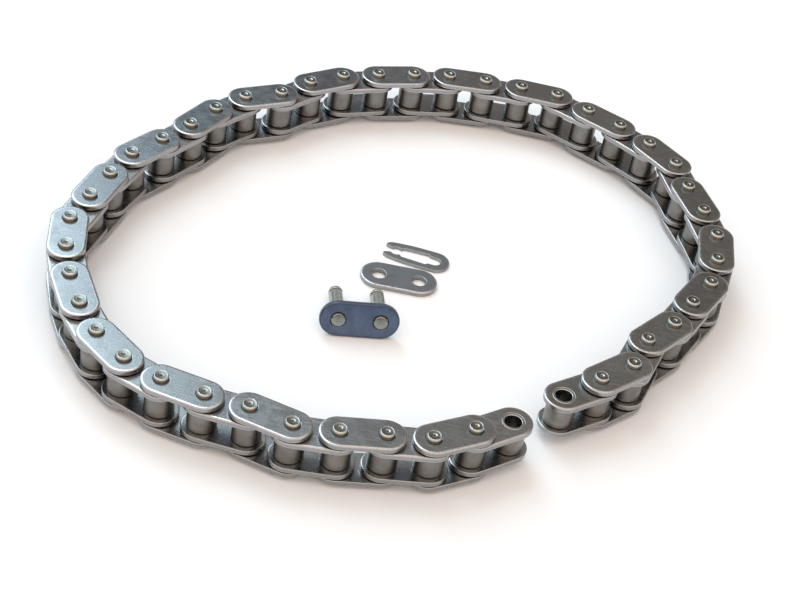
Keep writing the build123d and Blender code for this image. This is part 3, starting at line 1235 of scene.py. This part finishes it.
@dataclass
class ConnectingLink:
    """Connecting link that leans on its plate's lower edge and on the tips of its two pins.

    Attributes:
        place: Where the middle of the plate's front stands.
        heading: Direction of the plate in degrees.
        pin_reach: Length of a pin from the plate's front to its tip.
        tip_chamfer: Chamfer at the tip of a pin.
        edge: Chamfer that the plate leans on.
        head: Height of a rivet head.
        head_swell: How many times wider than the shank a rivet head is.
        shoulder: Radius of a rivet head's round shoulder.
        face_share: Share of the head's height from which it counts as its face.
        groove: Diameter of the clip groove.
        groove_start: Distance from the plate's front to the clip groove.
        groove_width: Width of the clip groove.
        plate_tone: Tone of the plate.
        tip_tone: Tone of the dark tips past the groove.
        shaft_tone: Tone of the light shafts.
        side_shade_tone: Tone of the sides of the rivet heads, drawn dark as painted shade.
        pin_diameter: Diameter of the pins.
        pin_segments: Number of flats round a pin.
        plate: The plate's sizes.
    """

    place: tuple[float, float] = (-5.85 * MM, -25.5 * MM)
    heading: float = 10.6
    pin_reach: float = 13.15 * MM
    tip_chamfer: float = 0.3 * MM
    edge: float = 0.2 * MM
    head: float = 0.5 * MM
    head_swell: float = 1.03
    shoulder: float = 0.42 * MM
    face_share: float = 0.7
    groove: float = 2.7 * MM
    groove_start: float = 11.35 * MM
    groove_width: float = 0.85 * MM
    plate_tone: float = 0.3
    tip_tone: float = -4.0
    shaft_tone: float = 9.0
    side_shade_tone: float = -9.0
    pin_diameter: float = PIN_DIAMETER
    pin_segments: int = 44
    plate: LinkPlate = LinkPlate(PLATE_SHEET, 3.42 * MM, roll=0.25 * MM, burr=0.22 * MM, reach=1.2,
                                 hole_edge=0.16 * MM)

    def placement(self) -> Placement:
        """Where the plate's front lies, with z along the pins, backwards and down.

        Returns:
            The placement. The lean makes the plate's lower edge and the pins' tips touch the ground:
            its tangent is the drop between them over their distance along the pins.
        """
        heading = math.radians(self.heading)
        along = np.array([math.cos(heading), math.sin(heading), 0.0])
        back = np.array([-math.sin(heading), math.cos(heading), 0.0])
        radius, depth = self.plate.height / 2, self.plate.thickness - self.edge
        lean = math.atan2(radius - self.pin_diameter / 2, self.pin_reach - self.tip_chamfer - depth)
        height = depth * math.sin(lean) + radius * math.cos(lean)
        pins = math.cos(lean) * back - math.sin(lean) * UP
        return Placement(np.array([*self.place, height]), along, pins)

    def pin(self) -> Shell:
        """A pin from its domed rivet head to its grooved tip, turned about its own z.

        Returns:
            The shell, with z 0 at the plate's front. Its profile goes from the head's face over
            its shoulder to the shank, then through the clip groove to the chamfered tip.
        """
        radius = self.pin_diameter / 2
        neck, tip = self.groove / 2, self.pin_reach
        swell, shoulder = self.head_swell * radius, self.shoulder
        start, end = self.groove_start, self.groove_start + self.groove_width
        head = stops(
            (0.0, -self.head, 0.1),
            (0.5 * MM, -self.head + 0.01 * MM, 0.1),
            (1.0 * MM, -self.head + 0.04 * MM, 0.2),
        ) + arc(swell - shoulder, 0.06 * MM + shoulder - self.head, shoulder, -75, 0, rim=0.2, steps=6)
        shaft = stops(
            (swell, 0.05 * MM, 0.0),
            (radius, 0.2 * MM, 0.2),
            (radius, self.plate.thickness + 0.4 * MM, 0.0),
            (radius, start - 0.35 * MM, 0.0),
            (radius, start - 0.05 * MM, 0.8),
            (radius - 0.05 * MM, start, 1.0),
            (neck, start, 0.0),
            (neck, end, 0.0),
            (radius - 0.05 * MM, end, 1.0),
            (radius, end + 0.05 * MM, 0.8),
            (radius, tip - self.tip_chamfer - 0.03 * MM, 0.6),
            (radius - 0.04 * MM, tip - self.tip_chamfer + 0.02 * MM, 0.9),
            (radius - self.tip_chamfer, tip - 0.03 * MM, 0.6),
            (radius - self.tip_chamfer - 0.08 * MM, tip, 0.3),
            (0.35 * MM, tip, 0.0),
            (0.0, tip - 0.1 * MM, 0.0),
        )
        return turned(head + shaft, self.pin_segments)

    def pin_painted_tone(self, pin: Shell) -> np.ndarray:
        """Tone of a pin: plain face, painted shade on the side of the head, light shaft and dark tip, by
        z alone.

        Args:
            pin: The pin's shell.

        Returns:
            Tone at each point.
        """
        along_pin = pin.points[:, 2]
        # The side of the rivet head is darkened as painted shade.
        tone = np.where(along_pin > -self.face_share * self.head, self.side_shade_tone, 0.0)
        tone = np.where(along_pin > self.plate.thickness, self.shaft_tone, tone)
        return np.where(along_pin > self.groove_start, self.tip_tone, tone)

    def build(self) -> None:
        """Shows the blued plate and its two pins."""
        spot = self.placement()
        back = Placement(spot.origin + self.plate.thickness * spot.up, spot.along, -spot.up)
        plate = self.plate.shell().placed(back, self.plate_tone)
        show("connecting_link_plate", plate, Metal.BLUED, "connecting_link", ("connecting_plate",))
        pin, pins = self.pin(), []
        for x in (-self.plate.pitch / 2, self.plate.pitch / 2):
            foot = Placement(spot.place(np.array([x, 0.0, 0.0])), spot.along, spot.up)
            pins.append(pin.placed(foot, self.pin_painted_tone(pin)))
        show("connecting_link_pins", gather(pins), Metal.PIN, "connecting_link", ("connecting_pins",))


@dataclass
class CoverPlate:
    """Loose plate that slides over the pins of the connecting link.

    Attributes:
        place: Its middle on the ground.
        heading: Its direction in degrees.
        painted_wall_tone: Tone of the walls of its holes, darkened as painted shade.
        plate: Its sizes.
    """

    place: tuple[float, float] = (0.65 * MM, -3.9 * MM)
    heading: float = 0.5
    painted_wall_tone: float = -7.0
    plate: LinkPlate = LinkPlate(PLATE_SHEET, 3.4 * MM, roll=0.2 * MM, burr=0.05 * MM, reach=1.6,
                                 hole_edge=0.14 * MM, hole_rim=0.3)

    def build(self) -> None:
        """Shows the plate flat on the ground, with its rolled edge upwards."""
        shell = self.plate.shell()
        # The walls of the holes are darkened as painted shade.
        tone = self.plate.painted_hole_shade(shell, self.painted_wall_tone)
        cover = shell.placed(upright(self.place, heading=self.heading), tone)
        show("cover_plate_satin", cover, Metal.COVER, "cover_plate", ("cover_plate",))


@dataclass
class SpringClip:
    """Flat spring clip, open at the end whose prongs snap past a pin's groove.

    Its own x runs from the seat at the closed end to the open end.

    Attributes:
        place: Centre of the closed end's seat.
        heading: Direction towards the open end in degrees.
        pitch: Distance between the seats.
        thickness: Thickness of the sheet.
        width: Width over both legs at the closed end.
        seat: Radius of the seats on the grooves.
        seat_flat: Length of the straight part beside the closed end's seat.
        relief: Half the width of the slot between the seats.
        relief_start: Where the slot reaches that width.
        relief_taper: How much the slot has narrowed before the neck.
        neck: Half the width of the neck before the open end's seat.
        neck_slope: Length of the slope down to the neck.
        throat: Half the width of the throat.
        throat_length: Length of the throat.
        mouth: Half the width of the mouth.
        reach: How far the prongs go past the open end's seat.
        tip: Width of a prong at its tip.
        straight: Where the legs start to taper.
        shoulder: Where the prongs turn in, past the open end's seat.
        taper: How much a leg has narrowed at the shoulder.
        edge: Radius of its edges.
        edge_rim: Share of edge wear with its painted highlight on them.
        tip_rim: Share of edge wear with its painted highlight on the tips.
        face_margin: Share of a leg's width beside each edge in which the edge wear and its painted
            highlight end.
        bow_steps: Number of steps round half the closed end.
        slot_points: Number of points along the slot.
        seat_points: Number of points round the open end's seat.
        mouth_points: Number of points from the throat to the tip.
        curve_points: Number of points that give the outer edge of a prong.
    """

    place: tuple[float, float] = (8.2 * MM, 5.1 * MM)
    heading: float = 172.6
    pitch: float = PITCH
    thickness: float = 0.75 * MM
    width: float = 6.9 * MM
    seat: float = 1.4 * MM
    seat_flat: float = 1.3 * MM
    relief: float = 1.95 * MM
    relief_start: float = 2.0 * MM
    relief_taper: float = 0.3 * MM
    neck: float = 1.02 * MM
    neck_slope: float = 0.7 * MM
    throat: float = 0.93 * MM
    throat_length: float = 0.4 * MM
    mouth: float = 1.43 * MM
    reach: float = 2.85 * MM
    tip: float = 0.55 * MM
    straight: float = 3.0 * MM
    shoulder: float = 1.4 * MM
    taper: float = 0.63 * MM
    edge: float = 0.09 * MM
    edge_rim: float = 0.9
    tip_rim: float = 0.5
    face_margin: float = 0.15
    bow_steps: int = 18
    slot_points: int = 9
    seat_points: int = 16
    mouth_points: int = 8
    curve_points: int = 24

    def inner_corners(self) -> np.ndarray:
        """Corners of a leg's inner edge: seat, slot, neck, the second seat's arc, throat and mouth.

        Returns:
            Corners by x and y. The arc runs between the angles whose sines are the neck and the
            throat over the seat's radius.
        """
        neck, snap = math.asin(self.neck / self.seat), math.asin(self.throat / self.seat)
        turn = np.linspace(math.pi - neck, snap, self.seat_points)
        pocket = self.seat * np.stack([np.cos(turn), np.sin(turn)], axis=-1) + (self.pitch, 0)
        before = [
            (0.0, self.seat),
            (self.seat_flat, self.seat),
            (self.relief_start, self.relief),
            (pocket[0, 0] - self.neck_slope, self.relief - self.relief_taper),
        ]
        after = [
            (pocket[-1, 0] + self.throat_length, self.throat),
            (self.pitch + self.reach, self.mouth),
        ]
        return np.concatenate([before, pocket, after])

    def outer_line(self, x: np.ndarray) -> np.ndarray:
        """Outer edge of a leg at some places along it.

        Args:
            x: The places, from the closed end's seat on.

        Returns:
            Distances from the middle line. The edge is straight, then an arc whose radius is the
            squares of its run and its taper over twice the taper, then a cubic that starts along
            the arc and ends at 45 degrees.
        """
        top, run = self.width / 2, self.pitch + self.shoulder - self.straight
        radius = (run ** 2 + self.taper ** 2) / (2 * self.taper)
        bent = np.clip(x - self.straight, 0, run)
        leg = top - radius + np.sqrt(radius ** 2 - bent ** 2)
        ends = np.array([(self.straight + run, top - self.taper),
                         (self.pitch + self.reach, self.mouth + self.tip)])
        fall = math.asin(run / radius)
        lean = np.array([(math.cos(fall), -math.sin(fall)), (math.sqrt(0.5), -math.sqrt(0.5))])
        lean = lean * np.linalg.norm(ends[1] - ends[0])
        t = np.linspace(0, 1, self.curve_points)[:, None]
        prong = (
            (1 + 2 * t) * (1 - t) ** 2 * ends[0] + t ** 2 * (3 - 2 * t) * ends[1]
            + t * (1 - t) ** 2 * lean[0] - t ** 2 * (1 - t) * lean[1]
        )
        return np.where(x > ends[0, 0], np.interp(x, prong[:, 0], prong[:, 1]), leg)

    def edges(self) -> tuple[np.ndarray, np.ndarray, np.ndarray]:
        """Outer and inner edge of one leg, from the middle of the closed end to the tip.

        Returns:
            Two rows of points that face each other, by angle round the closed end and by x after
            it, and the angle at which each stands on the round of the tip, from 0 to 90 degrees.
        """
        turn = np.radians(np.linspace(180, 90, self.bow_steps + 1))[:-1]
        bow = np.stack([np.cos(turn), np.sin(turn)], axis=-1)
        corners = self.inner_corners()
        last = self.pitch + self.reach - self.edge
        x = np.concatenate([
            corners[:2, 0],
            np.linspace(corners[2, 0], corners[3, 0], self.slot_points),
            corners[4:-1, 0],
            np.linspace(corners[-2, 0], last, self.mouth_points)[1:-1],
            last + self.edge * np.sin(QUARTER),
        ])
        inner = np.stack([x, np.interp(x, corners[:, 0], corners[:, 1])], axis=-1)
        outer = np.stack([x, self.outer_line(x)], axis=-1)
        tip = np.concatenate([np.zeros(len(bow) + len(x) - len(QUARTER)), QUARTER])
        away = np.concatenate([self.width / 2 * bow, outer])
        return away, np.concatenate([self.seat * bow, inner]), tip

    @staticmethod
    def mitres(line: np.ndarray) -> np.ndarray:
        """Directions across a leg's edge, long enough that an inset along them keeps its width.

        Args:
            line: The edge's points from the middle of the closed end to the tip.

        Returns:
            At each point the sum of the normals of the two steps beside it, over one plus their
            product. The step before the first is its mirror image, and the last step goes on.
        """
        longer = np.concatenate([line[1:2] * (1, -1), line, 2 * line[-1:] - line[-2:-1]])
        steps = np.diff(longer, axis=0)
        normals = np.stack([-steps[:, 1], steps[:, 0]], axis=-1)
        normals = normals / np.linalg.norm(normals, axis=1, keepdims=True)
        before, after = normals[:-1], normals[1:]
        return (before + after) / (1 + (before * after).sum(axis=1, keepdims=True))

    def leg(self) -> list[Patch]:
        """One leg: a section with round corners, carried along both edges and closed at the tip.

        Returns:
            The leg's skin and its tip. At an angle along the tip's round, the section is drawn in by
            the edge's radius times one less the cosine, and its corners' radius goes with the cosine.
        """
        outer, inner, tip = self.edges()
        cut, sink = 1 - np.cos(QUARTER), 1 - np.sin(QUARTER)
        inset = self.edge * (1 - np.cos(tip))[:, None]
        radius = self.edge * np.cos(tip)[:, None]
        depth = inset + radius * np.concatenate([cut[::-1], cut])
        low, high = inset + radius * sink[::-1], self.thickness - inset - radius * sink
        up = np.concatenate([low, high], axis=1)[..., None]
        away = outer[:, None] - self.mitres(outer)[:, None] * depth[..., None]
        towards = inner[:, None] + self.mitres(inner)[:, None] * depth[..., None]
        walls = [np.concatenate([away, up], axis=-1), np.concatenate([towards, up], axis=-1)[:, ::-1]]
        share = np.array([self.face_margin, 1 - self.face_margin])[:, None]
        top = (1 - share) * walls[0][:, -1:] + share * walls[1][:, :1]
        bottom = (1 - share) * walls[1][:, -1:] + share * walls[0][:, :1]
        skin = np.concatenate([walls[0], top, walls[1], bottom], axis=1)
        wall_rim, flat_rim = np.full(len(up[0]), self.edge_rim), np.zeros(len(share))
        row = np.concatenate([wall_rim, flat_rim, wall_rim, flat_rim])
        # Points 0 to 7 of a section are the outer wall, 8 and 9 the top, 10 to 17 the inner wall,
        # and 18 and 19 the bottom. The cap joins the bottom's points to the top's.
        section = skin[-1]
        cap = np.stack([np.append(section[17:], section[:1], axis=0), section[10:6:-1]])
        return [
            Patch(skin, np.repeat(row[None], len(skin), axis=0)),
            Patch(cap, np.full(cap.shape[:2], self.tip_rim), ring=False),
        ]

    def build(self) -> None:
        """Shows the clip flat on the ground: one leg and its mirror image, welded at the closed end."""
        leg = self.leg()
        clip = weld(leg + [patch.mirrored() for patch in leg])
        clip = clip.placed(upright(self.place, heading=self.heading))
        show("spring_clip_flat", clip, Metal.CLIP, "spring_clip", ("spring_clip",))


@dataclass(frozen=True)
class FloorFinish:
    """Matt pale finish of the floor.

    Attributes:
        name: Name of the material.
        colour: Colour of the floor.
        roughness: Roughness of the floor.
        shine: How strongly it mirrors.
    """

    name: str = "pale_floor"
    colour: Colour = (0.835, 0.865, 0.92)
    roughness: float = 0.75
    shine: float = 0.2

    def material(self) -> bpy.types.Material:
        """Makes the finish, with its values on the shader itself.

        Returns:
            The new material.
        """
        material = bpy.data.materials.new(self.name)
        material.use_nodes = True
        shader = shader_node(material).inputs
        shader["Base Color"].default_value = (*self.colour, 1)
        shader["Roughness"].default_value = self.roughness
        shader["Specular IOR Level"].default_value = self.shine
        return material


@dataclass(frozen=True)
class Room:
    """The room that the metal reflects: bright on the left, brown on the right, pale above.

    Attributes:
        sides: Colours from the left side, at 0, to the right side, at 1.
        front: Colour of the front.
        front_span: Where the front begins and is full, by y of a direction.
        ceiling: Colour overhead.
        ceiling_span: Where the ceiling begins and is full, by z of a direction.
        horizon: Colour low down.
        horizon_span: Where the horizon begins and is full, by z of a direction.
        backdrop: What the camera sees past the floor.
    """

    sides: tuple[tuple[float, Colour], ...] = (
        (0.0, (1.70, 1.95, 2.05)),
        (0.2, (0.85, 1.05, 1.12)),
        (0.35, (0.20, 0.28, 0.40)),
        (0.45, (0.11, 0.12, 0.14)),
        (0.515, (0.38, 0.33, 0.29)),
        (0.6, (0.22, 0.19, 0.15)),
        (0.8, (0.35, 0.28, 0.22)),
        (1.0, (0.66, 0.60, 0.58)),
    )
    front: Colour = (1.50, 1.20, 0.95)
    front_span: tuple[float, float] = (0.05, -0.40)
    ceiling: Colour = (1.42, 1.28, 1.15)
    ceiling_span: tuple[float, float] = (0.72, 0.86)
    horizon: Colour = (0.90, 0.93, 0.93)
    horizon_span: tuple[float, float] = (0.40, 0.20)
    backdrop: Colour = (0.93, 0.94, 0.97)

    def side_colour(self, graph: Graph, across: Value) -> bpy.types.NodeSocket:
        """Colour by how far to the right a direction points.

        Args:
            graph: The room's nodes.
            across: From -1 at the far left to 1 at the far right.

        Returns:
            The socket with the colour.
        """
        node = graph.tree.nodes.new("ShaderNodeValToRGB")
        stages = node.color_ramp.elements
        for spare in list(stages)[1:]:
            stages.remove(spare)
        stages[0].position, stages[0].color = self.sides[0][0], (*self.sides[0][1], 1)
        for position, colour in self.sides[1:]:
            stages.new(position).color = (*colour, 1)
        graph.feed(node.inputs["Fac"], graph.spread(across, -1.0, 1.0, smooth=False))
        return node.outputs["Color"]

    def build(self) -> None:
        """Lays the front, the ceiling and the horizon over the sides, as the world's light."""
        world = bpy.data.worlds.new("room")
        world.use_nodes = True
        bpy.context.scene.world = world
        world.node_tree.nodes.clear()
        graph = Graph(world.node_tree)
        nodes = graph.tree.nodes
        split = nodes.new("ShaderNodeSeparateXYZ")
        graph.feed(split.inputs[0], graph.place["Generated"])
        x, y, z = split.outputs
        colour = self.side_colour(graph, x)
        colour = graph.blend(graph.spread(y, *self.front_span, smooth=False), colour, self.front)
        colour = graph.blend(graph.spread(z, *self.ceiling_span), colour, self.ceiling)
        colour = graph.blend(graph.spread(z, *self.horizon_span, smooth=False), colour, self.horizon)
        choose = nodes.new("ShaderNodeMixShader")
        graph.feed(choose.inputs[0], nodes.new("ShaderNodeLightPath").outputs["Is Camera Ray"])
        for socket, light in zip(choose.inputs[1:], (colour, self.backdrop)):
            background = nodes.new("ShaderNodeBackground")
            graph.feed(background.inputs["Color"], light)
            graph.feed(socket, background.outputs[0])
        graph.feed(nodes.new("ShaderNodeOutputWorld").inputs["Surface"], choose.outputs[0])


@dataclass
class Studio:
    """Plain pale floor, soft light and the camera.

    Attributes:
        position: Place of the camera.
        azimuth: Direction that it looks in, from +Y towards +X, in degrees.
        elevation: Slope that it looks down at, in degrees.
        roll: Roll of the camera in degrees.
        focal_pixels: Focal length in pixels of an image of the width below.
        image_width: Width of the image in pixels.
        sensor: Width of the camera's sensor in millimetres.
        near: Distance from which the camera sees.
        floor_size: Length of a side of the floor.
        floor_finish: Finish of the floor.
        room: The room round it.
    """

    position: Triple = (4.52 * MM, -305.54 * MM, 248.39 * MM)
    azimuth: float = -0.50
    elevation: float = 40.09
    roll: float = 10.91
    focal_pixels: float = 1674.5
    image_width: int = 800
    sensor: float = 36.0
    near: float = 0.01
    floor_size: float = 12.0
    floor_finish: FloorFinish = FloorFinish()
    room: Room = Room()

    @staticmethod
    def stand(thing: bpy.types.Object, place: np.ndarray, axes: list[np.ndarray]) -> None:
        """Puts an object in the scene.

        Args:
            thing: The camera or lamp.
            place: Its place.
            axes: Directions of its own x, y and z axes. It looks along minus z.
        """
        pose = np.eye(4)
        pose[:3, :3] = np.stack(axes, axis=1)
        pose[:3, 3] = place
        thing.matrix_world = Matrix(pose.tolist())
        bpy.context.scene.collection.objects.link(thing)

    @staticmethod
    def sight(azimuth: float, elevation: float) -> tuple[np.ndarray, np.ndarray]:
        """Line of sight in a direction of the compass.

        Args:
            azimuth: Direction from +Y towards +X, in degrees.
            elevation: Height above the horizon, in degrees.

        Returns:
            The direction, and the level direction to its right.
        """
        turn, rise = math.radians(azimuth), math.radians(elevation)
        level = np.array([math.sin(turn), math.cos(turn), 0.0])
        side = np.array([math.cos(turn), -math.sin(turn), 0.0])
        return math.cos(rise) * level + math.sin(rise) * UP, side

    def camera(self) -> None:
        """Makes the camera: it looks down from the front, rolled about its own line of sight."""
        ahead, side = self.sight(self.azimuth, -self.elevation)
        head = np.cross(side, ahead)
        roll = math.radians(self.roll)
        right = math.cos(roll) * side + math.sin(roll) * head
        top = math.cos(roll) * head - math.sin(roll) * side
        camera = bpy.data.objects.new("camera", bpy.data.cameras.new("camera"))
        camera.data.sensor_width = self.sensor
        camera.data.lens = self.focal_pixels / self.image_width * self.sensor
        camera.data.clip_start = self.near
        self.stand(camera, np.array(self.position), [right, top, -ahead])
        bpy.context.scene.camera = camera

    def floor(self) -> None:
        """Makes the pale floor, level with the lowest point of the chain."""
        half = self.floor_size / 2
        corners = [(-half, -half, 0), (half, -half, 0), (half, half, 0), (-half, half, 0)]
        mesh = bpy.data.meshes.new("floor")
        mesh.from_pydata(corners, [], [(0, 1, 2, 3)])
        mesh.materials.append(self.floor_finish.material())
        floor = bpy.data.objects.new("floor", mesh)
        bpy.context.scene.collection.objects.link(floor)

    def lamp(self, name: str, azimuth: float, elevation: float, distance: float,
             size: tuple[float, float], power: float, colour: Colour) -> None:
        """Makes a soft lamp that faces the chain.

        Args:
            name: Its name.
            azimuth: Its direction from +Y towards +X, in degrees.
            elevation: Its height above the horizon, in degrees.
            distance: Its distance from the chain.
            size: Its width and height.
            power: Its power in watts.
            colour: Its colour.
        """
        light = bpy.data.lights.new(name, "AREA")
        light.shape = "RECTANGLE"
        light.size, light.size_y = size
        light.energy, light.color = power, colour
        away, side = self.sight(azimuth, elevation)
        lamp = bpy.data.objects.new(name, light)
        self.stand(lamp, distance * away, [side, np.cross(away, side), away])

    def build(self) -> None:
        """Makes the camera, the floor, the room and the lamp."""
        bpy.context.scene.view_settings.view_transform = "Standard"
        self.camera()
        self.floor()
        self.room.build()
        self.lamp("window", azimuth=-34, elevation=52, distance=1.1, size=(0.44, 0.77), power=4.7,
                  colour=(0.74, 0.92, 1.0))


def main() -> None:
    """Builds the chain, its loose pieces and the studio."""
    logging.basicConfig(level=logging.INFO, format="%(name)s: %(message)s")
    for assembly in (RingChain(), ConnectingLink(), CoverPlate(), SpringClip(), Studio()):
        LOG.info("building %s", type(assembly).__name__)
        assembly.build()


if __name__ == "__main__":
    main()
